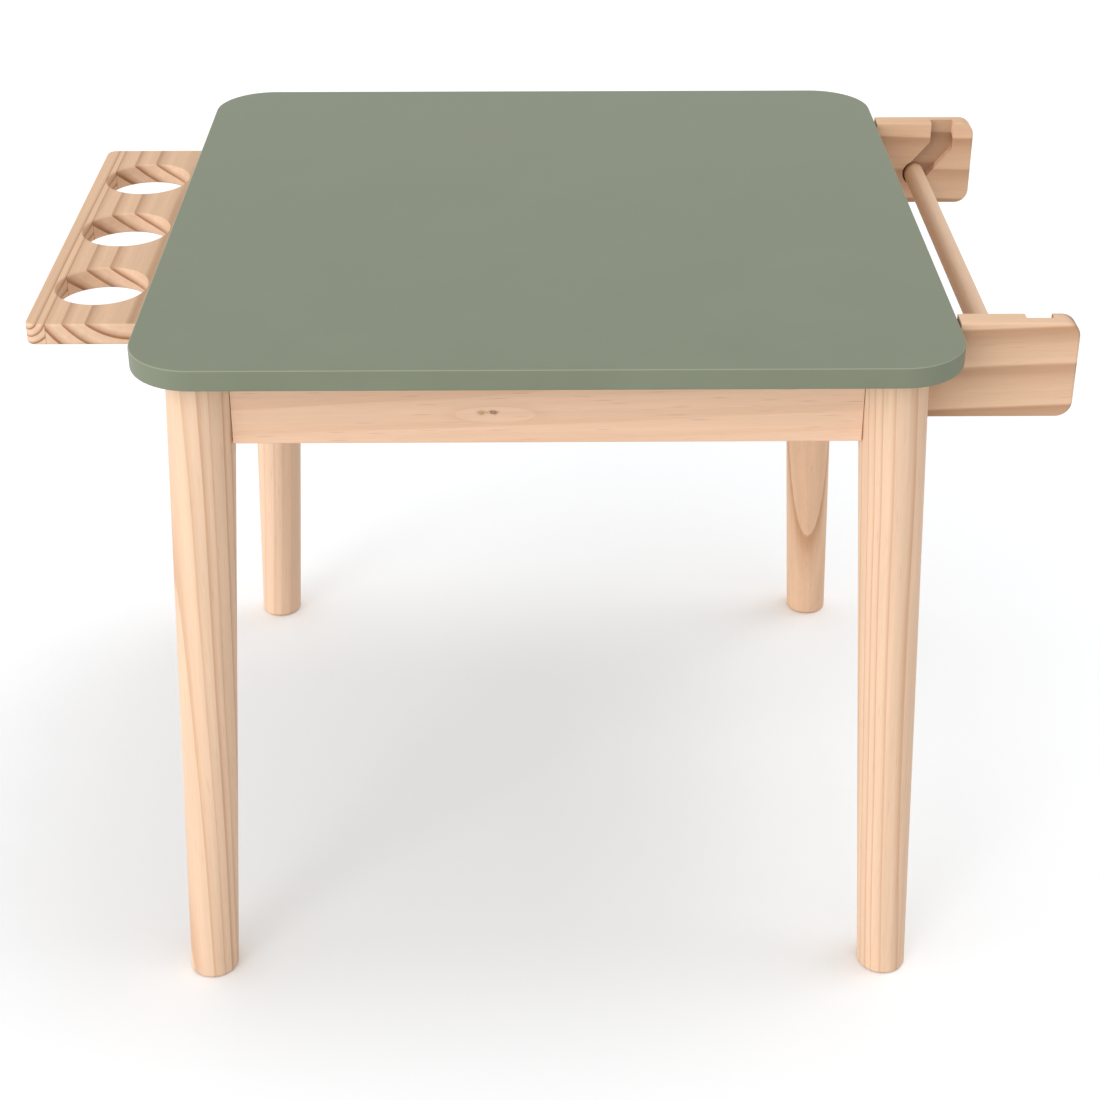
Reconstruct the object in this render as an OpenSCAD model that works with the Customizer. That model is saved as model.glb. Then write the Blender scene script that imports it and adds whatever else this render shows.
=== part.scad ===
// Childrens table: a square painted top on four turned, splayed legs, with a
// board for three cups on the left and two brackets that carry a paper-roll
// rod on the right. Millimetres; X runs left to right, Y front to back, Z up.
// The origin lies on the floor under the middle of the tabletop.

/* [Tabletop] */
// Width of the tabletop, left to right
top_width = 600; // [560:5:720]
// Depth of the tabletop, front to back
top_depth = 600; // [560:5:720]
// Thickness of the tabletop
top_thickness = 16; // [15:1:22]
// Height of the tabletop's upper face above the floor
table_height = 555; // [460:5:600]
// Radius of the tabletop's corners seen from above
top_corner_radius = 50; // [20:5:70]
// Rounding of the tabletop's upper and lower edges
top_edge_rounding = 1; // [0.5:0.25:3]

/* [Legs] */
// Diameter of a leg under the tabletop
leg_top_diameter = 51; // [48:0.5:54]
// Diameter of a leg at the floor
leg_foot_diameter = 38.5; // [34:0.5:44]
// Distance of a leg's axis from the tabletop's edges, under the tabletop
leg_inset = 50; // [48:0.5:53]
// How much further out the foot stands than the leg's top, along each side
leg_splay = 25; // [0:1:30]
// Rounding round the edge of the foot
foot_rounding = 3; // [1.5:0.5:4]
// Depth of the two flats on the leg's top that the aprons butt against
leg_flat_depth = 4.5; // [3:0.5:6]

/* [Aprons] */
// Height of the aprons
apron_height = 61; // [56:1:70]
// Thickness of the aprons
apron_thickness = 18; // [16:0.5:20]
// Distance of the aprons' outer faces from the tabletop's edges
apron_inset = 37; // [35:0.5:40]
// Rounding of the aprons' lower edges
apron_edge_rounding = 1.5; // [0.5:0.25:3]
// Open joint between an apron's end and the flat on its leg
apron_end_gap = 0.5; // [0.2:0.1:1]
// Diameter of the dowels between aprons and legs
dowel_diameter = 8; // [6:0.5:8]
// Length of a dowel inside the leg
dowel_leg_length = 16; // [12:1:18]
// Length of a dowel inside the apron
dowel_apron_length = 20; // [15:1:24]
// Height between the two dowels of one apron end
dowel_spacing = 24; // [22:1:26]

/* [Corner blocks] */
// Gap between a leg and its corner block
block_gap = 12.5; // [11:0.5:16]
// Thickness of a corner block
block_thickness = 20; // [18:1:24]
// Height of a corner block
block_height = 40; // [38:1:46]
// Distance of the apron screws from the block's outer end
block_screw_offset = 11; // [10:0.5:13]
// Height between the two screws of one block end
block_screw_spacing = 22; // [16:1:26]
// Distance of the tabletop screws from the hanger bolt's plane
top_screw_offset = 12; // [10:0.5:13]
// Depth of the tabletop screws' counterbores
top_screw_recess = 6; // [5:0.5:8]

/* [Cup board] */
// How far the cup board stands out from the tabletop's left edge
cup_board_reach = 90; // [84:1:110]
// Length of the cup board, front to back
cup_board_length = 372; // [340:2:400]
// Thickness of the cup board
cup_board_thickness = 17; // [14:1:20]
// Radius of the cup board's outer corners
cup_board_corner_radius = 8; // [4:1:14]
// Rounding of the cup board's edges
cup_board_edge_rounding = 1.5; // [0.5:0.25:3]
// Diameter of a cup hole
cup_hole_diameter = 70; // [50:1:74]
// Distance between neighbouring cup holes
cup_hole_pitch = 115; // [100:1:122]
// Distance of the cup holes' centres from the tabletop's left edge
cup_hole_offset = 44; // [42:0.5:46]
// Chamfer round the edges of a cup hole
cup_hole_chamfer = 1; // [0.5:0.25:1.5]
// Distance of the inner pair of cup board screws from the middle
cup_screw_inner = 55; // [30:5:80]
// Distance of the outer pair of cup board screws from the middle
cup_screw_outer = 155; // [120:5:160]

/* [Roll brackets] */
// How far the roll brackets stand out from the tabletop's right edge
bracket_reach = 90; // [86:1:110]
// Thickness of a roll bracket
bracket_thickness = 18; // [17:0.5:20]
// Distance of the brackets' outer faces from the tabletop's front and rear edges
bracket_inset = 75; // [74:1:90]
// Gap between the tabletop's edge and the raised part of a bracket
bracket_step_gap = 2; // [1:0.5:5]
// Radius of the brackets' outer corners
bracket_corner_radius = 12; // [6:1:16]
// Rounding of the brackets' edges
bracket_edge_rounding = 2; // [0.5:0.25:3]
// Width of the rod slot at its elbow
slot_width = 20.5; // [20:0.25:21.5]
// How much narrower the slot's lane and mouth are than its elbow
slot_pinch = 0.2; // [0.1:0.05:0.4]
// Diameter of the round seat that the rod drops into
seat_bore = 22.5; // [22:0.25:23.5]
// Depth of the rod slot in the bracket's inner face
slot_depth = 9; // [7:0.5:11]
// Distance of the slot's seat from the tabletop's right edge
seat_offset = 39.5; // [38:0.5:42]
// Depth of the slot's seat below the tabletop's upper face
seat_drop = 48; // [46:0.5:50]
// Distance from the seat to the slot's mouth, outwards
slot_lean = 21.8; // [20:0.1:24]
// Height of the slot's elbow above its seat
slot_rise = 26.2; // [24:0.1:28]

/* [Roll rod] */
// Diameter of the roll rod
rod_diameter = 18; // [16:0.5:18.5]
// Clearance between the rod and the bottom of its seat
rod_seat_clearance = 0.3; // [0.2:0.05:0.4]
// Clearance between each end of the rod and its slot
rod_end_clearance = 0.5; // [0.3:0.1:2]
// Chamfer on the ends of the rod
rod_chamfer = 1.5; // [0.5:0.25:3]

/* [Fasteners] */
// Length of a hanger bolt
hanger_length = 66; // [62:1:72]
// Length of a hanger bolt inside its leg
hanger_leg_length = 24; // [20:1:26]
// Diameter of the hanger bolts and the bracket bolts
bolt_diameter = 6; // [5:0.5:6]
// Diameter of a washer
washer_diameter = 18; // [14:0.5:20]
// Thickness of a washer
washer_thickness = 1.6; // [1:0.2:2]
// Width of a nut across its flats
nut_width = 10; // [9:0.5:10]
// Height of a nut
nut_height = 5; // [4:0.5:6]
// Diameter of the wood screws
screw_diameter = 4; // [3:0.5:4.5]
// Diameter of the wood screws' heads
screw_head_diameter = 7.5; // [7:0.25:8]
// Height of the wood screws' heads
screw_head_height = 2.4; // [2:0.2:2.8]
// Length of a screw between a block and an apron
block_screw_length = 25; // [22:1:26]
// Length of a screw between a block and the tabletop
top_screw_length = 45; // [42:1:46]
// Length of a screw between the cup board and the tabletop
cup_screw_length = 22; // [20:1:24]
// Length of a bracket bolt under its head
bracket_bolt_length = 40; // [35:1:45]
// Height between the two bolts of one bracket
bracket_bolt_spacing = 44; // [42:1:44]
// Diameter of a threaded insert in a bracket
insert_diameter = 9; // [8:0.25:9]
// Length of a threaded insert
insert_length = 15; // [12:1:16]

/* [Hidden] */
$fn = 96;

// Colours of the painted top, the pine pieces, the dowels, the steel and the brass
sage = [0.54, 0.57, 0.49];
pine = [0.87, 0.73, 0.59];
beech = [0.80, 0.62, 0.43];
zinc = [0.76, 0.77, 0.78];
brass = [0.78, 0.64, 0.34];

// Play round a shank or a dowel in its hole, and round a head in its counterbore
hole_play = 0.1;
head_play = 0.5;
// Length by which a cutting shape reaches past the face that it opens
reach_out = 1;

half_width = top_width / 2;
half_depth = top_depth / 2;
underside = table_height - top_thickness;
apron_bottom = underside - apron_height;
apron_middle = underside - apron_height / 2;

// A leg is a slanted cone, cut level with the floor and with the tabletop's underside
leg_top_radius = leg_top_diameter / 2;
leg_foot_radius = leg_foot_diameter / 2;
leg_length = norm([leg_splay, leg_splay, underside]);
leg_tilt = atan2(leg_splay * sqrt(2), underside);
leg_overrun = 12;
leg_taper = (leg_top_radius - leg_foot_radius) / leg_length;
leg_flat_clearance = 1;

// Distance of the flats, and so of the aprons' ends, from the tabletop's edges
apron_end_inset = leg_inset + leg_top_radius - leg_flat_depth;

// Seen from the leg's axis at the underside, the aprons' inner faces lie this far
// inwards, and the block's faces cut the 45 degree line at these distances
inner_face_offset = apron_inset + apron_thickness - leg_inset;
block_near = leg_top_radius + block_gap;
block_far = block_near + block_thickness;
block_near_corner = block_near * sqrt(2) - inner_face_offset;
block_far_corner = block_far * sqrt(2) - inner_face_offset;
block_middle = (block_near + block_far) / 2;
block_screw_place = block_near_corner + block_screw_offset;
block_screw_middle = underside - block_height / 2;
// Wood left between a screw's point and the far face that it doesn't break through
screw_point_wall = 3.5;
// Depth of the cup board's screw heads below its face
cup_screw_sink = 0.6;
// Free length of a bracket bolt's hole beyond the bolt's point
bolt_run_out = 5;
// Chamfers on a socket bolt's head and point
bolt_chamfer = 0.5;
block_screw_grip = block_screw_length - (apron_thickness - screw_point_wall);

// The leg's surface and axis at the height of the hanger bolts
hanger_drop = apron_height / 2;
hanger_lean = leg_splay * sqrt(2) * hanger_drop / underside;
hanger_start = leg_top_radius - hanger_leg_length - hanger_lean;
bolt_radius = bolt_diameter / 2;

bracket_top = table_height;
bracket_height = bracket_top - apron_bottom;
bracket_outer_y = half_depth - bracket_inset;
bracket_inner_y = bracket_outer_y - bracket_thickness;
bracket_middle_y = bracket_outer_y - bracket_thickness / 2;
bracket_end_x = half_width - apron_inset;
bracket_step_x = half_width + bracket_step_gap;
insert_hole_depth = bracket_bolt_length - apron_thickness + bolt_run_out;

seat_x = half_width + seat_offset;
seat_z = table_height - seat_drop;
elbow_x = seat_x + slot_lean;
elbow_z = seat_z + slot_rise;
lane_width = slot_width - slot_pinch;
lane_length = norm([slot_lean, slot_rise]);
lane_angle = atan2(slot_rise, slot_lean);
rod_radius = rod_diameter / 2;
rod_z = seat_z - seat_bore / 2 + rod_radius + rod_seat_clearance;
rod_end_y = bracket_inner_y + slot_depth - rod_end_clearance;

cup_board_width = apron_inset + cup_board_reach;
cup_screw_x = half_width - apron_inset / 2;
cup_screw_recess = screw_head_height + cup_screw_sink;

// The four corners as signs of X and Y
FRONT_LEFT = [-1, -1];
FRONT_RIGHT = [1, -1];
REAR_LEFT = [-1, 1];
REAR_RIGHT = [1, 1];
CORNERS = [FRONT_LEFT, FRONT_RIGHT, REAR_LEFT, REAR_RIGHT];

// Mirrors what is drawn for the rear right corner to another corner
module at_corner(signs) {
    mirror([signs[0] < 0 ? 1 : 0, 0, 0])
        mirror([0, signs[1] < 0 ? 1 : 0, 0])
            children();
}

// Moves to a leg's axis at the tabletop's underside, at the rear right corner
module at_leg_top() {
    translate([half_width - leg_inset, half_depth - leg_inset, underside])
        children();
}

// Section of a board from its plain side out to an edge with both arrises rounded
module eased_section(reach, thickness, rounding) {
    square([reach - rounding, thickness]);
    translate([0, rounding])
        square([reach, thickness - 2 * rounding]);
    for (y = [rounding, thickness - rounding])
        translate([reach - rounding, y])
            circle(r = rounding);
}

// Board from a plain end at x = 0 to a round-cornered end, centred on y
module eased_board(length, width, thickness, corner, rounding) {
    side = width / 2 - corner;
    translate([0, -side, 0])
        cube([length - corner, 2 * side, thickness]);
    translate([length - corner, side, 0])
        rotate([90, 0, 0])
            linear_extrude(2 * side)
                eased_section(corner, thickness, rounding);
    for (flip = [0, 1])
        mirror([0, flip, 0]) {
            translate([0, side, 0])
                rotate([90, 0, 90])
                    linear_extrude(length - corner)
                        eased_section(corner, thickness, rounding);
            translate([length - corner, side, 0])
                rotate_extrude(angle = 90)
                    eased_section(corner, thickness, rounding);
        }
}

// Wood screw along +Z, with its head's underside at z = 0 and a cross recess
module wood_screw(length) {
    radius = screw_diameter / 2;
    point = screw_diameter;
    head_radius = screw_head_diameter / 2;
    difference() {
        union() {
            translate([0, 0, -screw_head_height])
                cylinder(h = screw_head_height / 2, r1 = head_radius * 0.75, r2 = head_radius);
            translate([0, 0, -screw_head_height / 2])
                cylinder(h = screw_head_height / 2, r = head_radius);
            cylinder(h = length - point, r = radius);
            translate([0, 0, length - point])
                cylinder(h = point, r1 = radius, r2 = radius / 4);
        }
        for (turn = [0, 90])
            rotate([0, 0, turn])
                translate([0, 0, -screw_head_height])
                    cube([head_radius, 0.9, screw_head_height * 1.1], center = true);
    }
}

// Room for a wood screw's shank, upwards from its head's underside at z = 0
module screw_shank_hole(length) {
    cylinder(h = length + hole_play, r = screw_diameter / 2 + hole_play);
}

// Room for a wood screw's shank, and for its head in a counterbore
module screw_hole(length, counterbore) {
    screw_shank_hole(length);
    translate([0, 0, -counterbore])
        cylinder(h = counterbore, r = screw_head_diameter / 2 + head_play);
}

// Places along an apron's end: the two dowels
module at_dowels() {
    for (z = [-dowel_spacing / 2, dowel_spacing / 2])
        translate([0, 0, apron_middle + z])
            children();
}

// Places of one block end's screws, pointing at the rear apron from a block's corner
module at_block_screws() {
    for (z = [-block_screw_spacing / 2, block_screw_spacing / 2])
        translate([-block_screw_place, -inner_face_offset - block_screw_grip, block_screw_middle + z - underside])
            rotate([-90, 0, 0])
                children();
}

// Places of a block's two tabletop screws, pointing up
module at_top_screws() {
    for (side = [-1, 1])
        rotate([0, 0, 45])
            translate([-block_middle, side * top_screw_offset, top_screw_recess - block_height])
                children();
}

// Places of the cup board screws, pointing up at the tabletop
module at_cup_screws() {
    for (y = [-cup_screw_outer, -cup_screw_inner, cup_screw_inner, cup_screw_outer])
        translate([-cup_screw_x, y, underside - cup_board_thickness + cup_screw_recess])
            children();
}

// Places of the rear bracket's bolts on the right apron's inner face, pointing out
module at_bracket_bolts() {
    for (z = [-bracket_bolt_spacing / 2, bracket_bolt_spacing / 2])
        translate([bracket_end_x - apron_thickness, bracket_middle_y, apron_middle + z])
            rotate([0, 90, 0])
                children();
}

// Turns +Z to the hanger bolt's line, inwards from a leg's axis
module along_hanger(distance) {
    translate([0, 0, -hanger_drop])
        rotate([0, -90, 45])
            translate([0, 0, distance])
                children();
}

module tabletop() {
    color(sage)
    difference() {
        translate([0, 0, underside])
            for (flip = [0, 1])
                mirror([flip, 0, 0])
                    eased_board(half_width, top_depth, top_thickness, top_corner_radius, top_edge_rounding);
        for (signs = CORNERS)
            at_corner(signs)
                at_leg_top()
                    at_top_screws()
                        screw_shank_hole(top_screw_length);
        at_cup_screws()
            screw_shank_hole(cup_screw_length);
    }
}

// Ring that takes the foot's edge down along one facet of its rounding
module foot_relief(slope) {
    start = leg_foot_radius - foot_rounding + foot_rounding * (1 - sin(slope)) / cos(slope);
    height = 2 * foot_rounding;
    difference() {
        translate([0, 0, -reach_out])
            cylinder(h = height + reach_out, r = leg_foot_radius + leg_overrun);
        translate([0, 0, -2 * reach_out])
            cylinder(
                h = height + 4 * reach_out,
                r1 = start - 2 * reach_out * tan(slope),
                r2 = start + (height + 2 * reach_out) * tan(slope)
            );
    }
}

module leg(signs) {
    foot = [half_width - leg_inset + leg_splay, half_depth - leg_inset + leg_splay, 0];
    color(pine)
    at_corner(signs)
        difference() {
            intersection() {
                translate(foot)
                    rotate([0, leg_tilt, 225])
                        translate([0, 0, -leg_overrun])
                            cylinder(
                                h = leg_length + 2 * leg_overrun,
                                r1 = leg_foot_radius - leg_taper * leg_overrun,
                                r2 = leg_top_radius + leg_taper * leg_overrun
                            );
                cube([top_width, top_depth, underside]);
            }
            translate(foot)
                for (slope = [22.5, 45, 67.5])
                    foot_relief(slope);
            translate([0, 0, apron_bottom - leg_flat_clearance])
                cube([half_width - apron_end_inset, top_depth, top_thickness + apron_height]);
            translate([0, 0, apron_bottom - leg_flat_clearance])
                cube([top_width, half_depth - apron_end_inset, top_thickness + apron_height]);
            at_dowels()
                leg_dowel_holes();
            at_leg_top()
                along_hanger(hanger_start)
                    cylinder(h = hanger_length, r = bolt_radius + hole_play);
        }
}

// Blind holes of one pair of dowels in the leg at the rear right corner
module leg_dowel_holes() {
    across = apron_inset + apron_thickness / 2;
    radius = (dowel_diameter + hole_play) / 2;
    translate([half_width - apron_end_inset, half_depth - across, 0])
        rotate([0, 90, 0])
            translate([0, 0, -reach_out])
                cylinder(h = dowel_leg_length + reach_out, r = radius);
    translate([half_width - across, half_depth - apron_end_inset, 0])
        rotate([-90, 0, 0])
            translate([0, 0, -reach_out])
                cylinder(h = dowel_leg_length + reach_out, r = radius);
}

// Apron along X with its outer face towards +Y, for half sizes across and along it
module apron(half_length, half_across, with_bolts) {
    flat = half_length - apron_end_inset;
    end = flat - apron_end_gap;
    outer = half_across - apron_inset;
    color(pine)
    difference() {
        translate([-end, outer - apron_thickness, underside])
            rotate([0, 90, 0])
                linear_extrude(2 * end)
                    eased_section(apron_height, apron_thickness, apron_edge_rounding);
        for (flip = [0, 1])
            mirror([flip, 0, 0]) {
                at_dowels()
                    translate([flat - dowel_apron_length, outer - apron_thickness / 2, 0])
                        rotate([0, 90, 0])
                            cylinder(
                                h = dowel_apron_length + reach_out,
                                r = (dowel_diameter + hole_play) / 2
                            );
                translate([half_length - leg_inset, half_across - leg_inset, underside])
                    at_block_screws()
                        screw_shank_hole(block_screw_length);
            }
        if (with_bolts)
            for (y = [-bracket_middle_y, bracket_middle_y], z = [-bracket_bolt_spacing / 2, bracket_bolt_spacing / 2])
                translate([y, outer - apron_thickness - reach_out, apron_middle + z])
                    rotate([-90, 0, 0])
                        cylinder(h = apron_thickness + 2 * reach_out, r = bolt_radius + hole_play);
    }
}

module corner_block(signs) {
    color(pine)
    at_corner(signs)
        at_leg_top()
            difference() {
                translate([0, 0, -block_height])
                    linear_extrude(block_height)
                        polygon([
                            [-inner_face_offset, -block_near_corner],
                            [-block_near_corner, -inner_face_offset],
                            [-block_far_corner, -inner_face_offset],
                            [-inner_face_offset, -block_far_corner]
                        ]);
                block_end_holes();
                mirror([1, -1, 0])
                    block_end_holes();
                at_top_screws()
                    screw_hole(top_screw_length, top_screw_recess + reach_out);
                along_hanger(hanger_start)
                    cylinder(h = hanger_length + 2 * block_thickness, r = bolt_radius + hole_play);
            }
}

// Holes for the screws that hold one end of a block to its apron
module block_end_holes() {
    at_block_screws()
        screw_hole(block_screw_length, block_thickness);
}

module cup_board() {
    color(pine)
    difference() {
        mirror([1, 0, 0])
            translate([half_width - apron_inset, 0, underside - cup_board_thickness])
                eased_board(
                    cup_board_width, cup_board_length, cup_board_thickness,
                    cup_board_corner_radius, cup_board_edge_rounding
                );
        for (y = [-cup_hole_pitch, 0, cup_hole_pitch])
            translate([-half_width - cup_hole_offset, y, underside - cup_board_thickness])
                cup_hole();
        at_cup_screws()
            screw_hole(cup_screw_length, cup_screw_recess + reach_out);
    }
}

// Through hole with both edges chamfered, upwards from z = 0
module cup_hole() {
    radius = cup_hole_diameter / 2;
    flare = cup_hole_chamfer + reach_out;
    translate([0, 0, -reach_out])
        cylinder(h = cup_board_thickness + 2 * reach_out, r = radius);
    translate([0, 0, -reach_out])
        cylinder(h = flare, r1 = radius + flare, r2 = radius);
    translate([0, 0, cup_board_thickness - cup_hole_chamfer])
        cylinder(h = flare, r1 = radius, r2 = radius + flare);
}

// Outline of the rod slot: a round seat, a sloping lane and an upright mouth
module slot_outline() {
    translate([seat_x, seat_z])
        circle(r = seat_bore / 2);
    translate([seat_x, seat_z])
        rotate(lane_angle)
            translate([0, -lane_width / 2])
                square([lane_length, lane_width]);
    translate([elbow_x, elbow_z])
        circle(r = slot_width / 2);
    translate([elbow_x - lane_width / 2, elbow_z])
        square([lane_width, table_height - elbow_z + reach_out]);
}

// The rear bracket; the front one is its mirror image
module roll_bracket(signs) {
    block_length = half_width + bracket_reach - bracket_step_x;
    color(pine)
    at_corner(signs)
        difference() {
            union() {
                translate([bracket_step_x, bracket_outer_y, bracket_top - bracket_height / 2])
                    rotate([90, 0, 0])
                        eased_board(
                            block_length, bracket_height, bracket_thickness,
                            bracket_corner_radius, bracket_edge_rounding
                        );
                translate([bracket_end_x, bracket_inner_y, underside])
                    rotate([0, 90, 0])
                        linear_extrude(bracket_step_x - bracket_end_x)
                            eased_section(apron_height, bracket_thickness, bracket_edge_rounding);
            }
            translate([0, bracket_inner_y + slot_depth, 0])
                rotate([90, 0, 0])
                    linear_extrude(slot_depth + reach_out)
                        slot_outline();
            at_bracket_bolts() {
                translate([0, 0, apron_thickness - reach_out])
                    cylinder(h = insert_length + reach_out, r = (insert_diameter + hole_play) / 2);
                translate([0, 0, apron_thickness - reach_out])
                    cylinder(h = insert_hole_depth, r = bolt_radius + hole_play);
            }
        }
}

module roll_rod() {
    length = 2 * rod_end_y;
    color(pine)
    translate([seat_x, rod_end_y, rod_z])
        rotate([90, 0, 0]) {
            cylinder(h = rod_chamfer, r1 = rod_radius - rod_chamfer, r2 = rod_radius);
            translate([0, 0, rod_chamfer])
                cylinder(h = length - 2 * rod_chamfer, r = rod_radius);
            translate([0, 0, length - rod_chamfer])
                cylinder(h = rod_chamfer, r1 = rod_radius, r2 = rod_radius - rod_chamfer);
        }
}

// One dowel along +Z with chamfered ends
module dowel() {
    chamfer = 1;
    radius = dowel_diameter / 2;
    length = dowel_leg_length + dowel_apron_length;
    cylinder(h = chamfer, r1 = radius - chamfer, r2 = radius);
    translate([0, 0, chamfer])
        cylinder(h = length - 2 * chamfer, r = radius);
    translate([0, 0, length - chamfer])
        cylinder(h = chamfer, r1 = radius, r2 = radius - chamfer);
}

module apron_dowels() {
    across = apron_inset + apron_thickness / 2;
    inner_end = apron_end_inset + dowel_apron_length;
    color(beech)
    for (signs = CORNERS)
        at_corner(signs)
            at_dowels() {
                translate([half_width - inner_end, half_depth - across, 0])
                    rotate([0, 90, 0])
                        dowel();
                translate([half_width - across, half_depth - inner_end, 0])
                    rotate([-90, 0, 0])
                        dowel();
            }
}

module block_screws() {
    color(zinc)
    for (signs = CORNERS)
        at_corner(signs)
            at_leg_top() {
                at_block_screws()
                    wood_screw(block_screw_length);
                mirror([1, -1, 0])
                    at_block_screws()
                        wood_screw(block_screw_length);
            }
}

module top_screws() {
    color(zinc)
    for (signs = CORNERS)
        at_corner(signs)
            at_leg_top()
                at_top_screws()
                    wood_screw(top_screw_length);
}

module cup_board_screws() {
    color(zinc)
    at_cup_screws()
        wood_screw(cup_screw_length);
}

module hanger_bolts() {
    chamfer = 1;
    color(zinc)
    for (signs = CORNERS)
        at_corner(signs)
            at_leg_top()
                along_hanger(hanger_start) {
                    cylinder(h = chamfer, r1 = bolt_radius - chamfer, r2 = bolt_radius);
                    translate([0, 0, chamfer])
                        cylinder(h = hanger_length - 2 * chamfer, r = bolt_radius);
                    translate([0, 0, hanger_length - chamfer])
                        cylinder(h = chamfer, r1 = bolt_radius, r2 = bolt_radius - chamfer);
                }
}

module hanger_washers() {
    color(zinc)
    for (signs = CORNERS)
        at_corner(signs)
            at_leg_top()
                along_hanger(block_far)
                    difference() {
                        cylinder(h = washer_thickness, r = washer_diameter / 2);
                        translate([0, 0, -reach_out])
                            cylinder(h = washer_thickness + 2 * reach_out, r = bolt_radius + hole_play);
                    }
}

module hanger_nuts() {
    color(zinc)
    for (signs = CORNERS)
        at_corner(signs)
            at_leg_top()
                along_hanger(block_far + washer_thickness)
                    difference() {
                        cylinder(h = nut_height, r = nut_width / sqrt(3), $fn = 6);
                        translate([0, 0, -reach_out])
                            cylinder(h = nut_height + 2 * reach_out, r = bolt_radius + hole_play);
                    }
}

// Socket-head bolt along +Z with its head's underside at z = 0
module socket_bolt() {
    head_radius = bolt_diameter * 0.83;
    chamfer = bolt_chamfer;
    difference() {
        union() {
            translate([0, 0, -bolt_diameter])
                cylinder(h = chamfer, r1 = head_radius - chamfer, r2 = head_radius);
            translate([0, 0, chamfer - bolt_diameter])
                cylinder(h = bolt_diameter - chamfer, r = head_radius);
            cylinder(h = bracket_bolt_length - chamfer, r = bolt_radius);
            translate([0, 0, bracket_bolt_length - chamfer])
                cylinder(h = chamfer, r1 = bolt_radius, r2 = bolt_radius - chamfer);
        }
        translate([0, 0, -bolt_diameter - reach_out])
            cylinder(h = bolt_diameter / 2 + reach_out, r = bolt_diameter * 0.48, $fn = 6);
    }
}

module bracket_bolts() {
    color(zinc)
    for (signs = [FRONT_RIGHT, REAR_RIGHT])
        at_corner(signs)
            at_bracket_bolts()
                socket_bolt();
}

module bracket_inserts() {
    color(brass)
    for (signs = [FRONT_RIGHT, REAR_RIGHT])
        at_corner(signs)
            at_bracket_bolts()
                translate([0, 0, apron_thickness])
                    difference() {
                        cylinder(h = insert_length, r = insert_diameter / 2);
                        translate([0, 0, -reach_out])
                            cylinder(h = insert_length + 2 * reach_out, r = bolt_radius + hole_play);
                    }
}

tabletop();
leg(FRONT_LEFT);  // leg_front_left
leg(FRONT_RIGHT);  // leg_front_right
leg(REAR_LEFT);  // leg_rear_left
leg(REAR_RIGHT);  // leg_rear_right
rotate([0, 0, 180]) apron(half_width, half_depth, false);  // apron_front
apron(half_width, half_depth, false);  // apron_rear
rotate([0, 0, 90]) apron(half_depth, half_width, false);  // apron_left
rotate([0, 0, -90]) apron(half_depth, half_width, true);  // apron_right
corner_block(FRONT_LEFT);  // corner_block_front_left
corner_block(FRONT_RIGHT);  // corner_block_front_right
corner_block(REAR_LEFT);  // corner_block_rear_left
corner_block(REAR_RIGHT);  // corner_block_rear_right
cup_board();
roll_bracket(FRONT_RIGHT);  // roll_bracket_front
roll_bracket(REAR_RIGHT);  // roll_bracket_rear
roll_rod();
apron_dowels();
block_screws();
top_screws();
cup_board_screws();
hanger_bolts();
hanger_washers();
hanger_nuts();
bracket_bolts();
bracket_inserts();
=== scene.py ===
"""Looks of a low childrens table: painted top, pine frame, cup board and roll holder."""

import logging
import math
from dataclasses import dataclass
from enum import Enum
from typing import Any

import bmesh
import bpy
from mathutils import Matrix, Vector


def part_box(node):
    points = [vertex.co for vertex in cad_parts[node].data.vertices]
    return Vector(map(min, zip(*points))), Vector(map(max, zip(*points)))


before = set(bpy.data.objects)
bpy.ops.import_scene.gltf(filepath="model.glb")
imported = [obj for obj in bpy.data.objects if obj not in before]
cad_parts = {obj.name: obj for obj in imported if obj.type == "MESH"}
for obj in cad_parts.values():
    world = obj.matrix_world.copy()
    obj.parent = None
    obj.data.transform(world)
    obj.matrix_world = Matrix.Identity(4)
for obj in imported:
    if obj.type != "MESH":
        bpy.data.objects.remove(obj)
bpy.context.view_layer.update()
MM = 0.001
# A noise node's values mostly lie in this range
NOISE = {"From Min": 0.3, "From Max": 0.7}
log = logging.getLogger("table")

Source = bpy.types.Node | bpy.types.NodeSocket
Pair = tuple[float, float]
Triple = tuple[float, float, float]


class Grain(Enum):
    """Directions in which a straight board's fibres run."""

    ALONG_X = (1.0, 0.0, 0.0)
    ALONG_Y = (0.0, 1.0, 0.0)


class FloorLight(Enum):
    """What a lamp does with the floor, as light linking calls it."""

    ALONE = "INCLUDE"
    LEFT_OUT = "EXCLUDE"


def linear_colour(hex_code: str) -> tuple[float, float, float, float]:
    """Turns a written colour into the linear one that nodes take.

    Args:
        hex_code: the colour as "#rrggbb", as it looks on a screen.

    Returns:
        Linear red, green and blue, and an alpha of 1.
    """
    shown = [int(hex_code[i : i + 2], 16) / 255 for i in (1, 3, 5)]
    # The sRGB curve is straight near black and a power above it
    red, green, blue = (
        level / 12.92 if level <= 0.04045 else ((level + 0.055) / 1.055) ** 2.4 for level in shown)
    return (red, green, blue, 1.0)


def repeats(*sizes: float) -> tuple[float, ...]:
    """Repeats of a pattern per millimetre, from the size of one of its cells in millimetres."""
    return tuple(1 / size for size in sizes)


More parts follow.
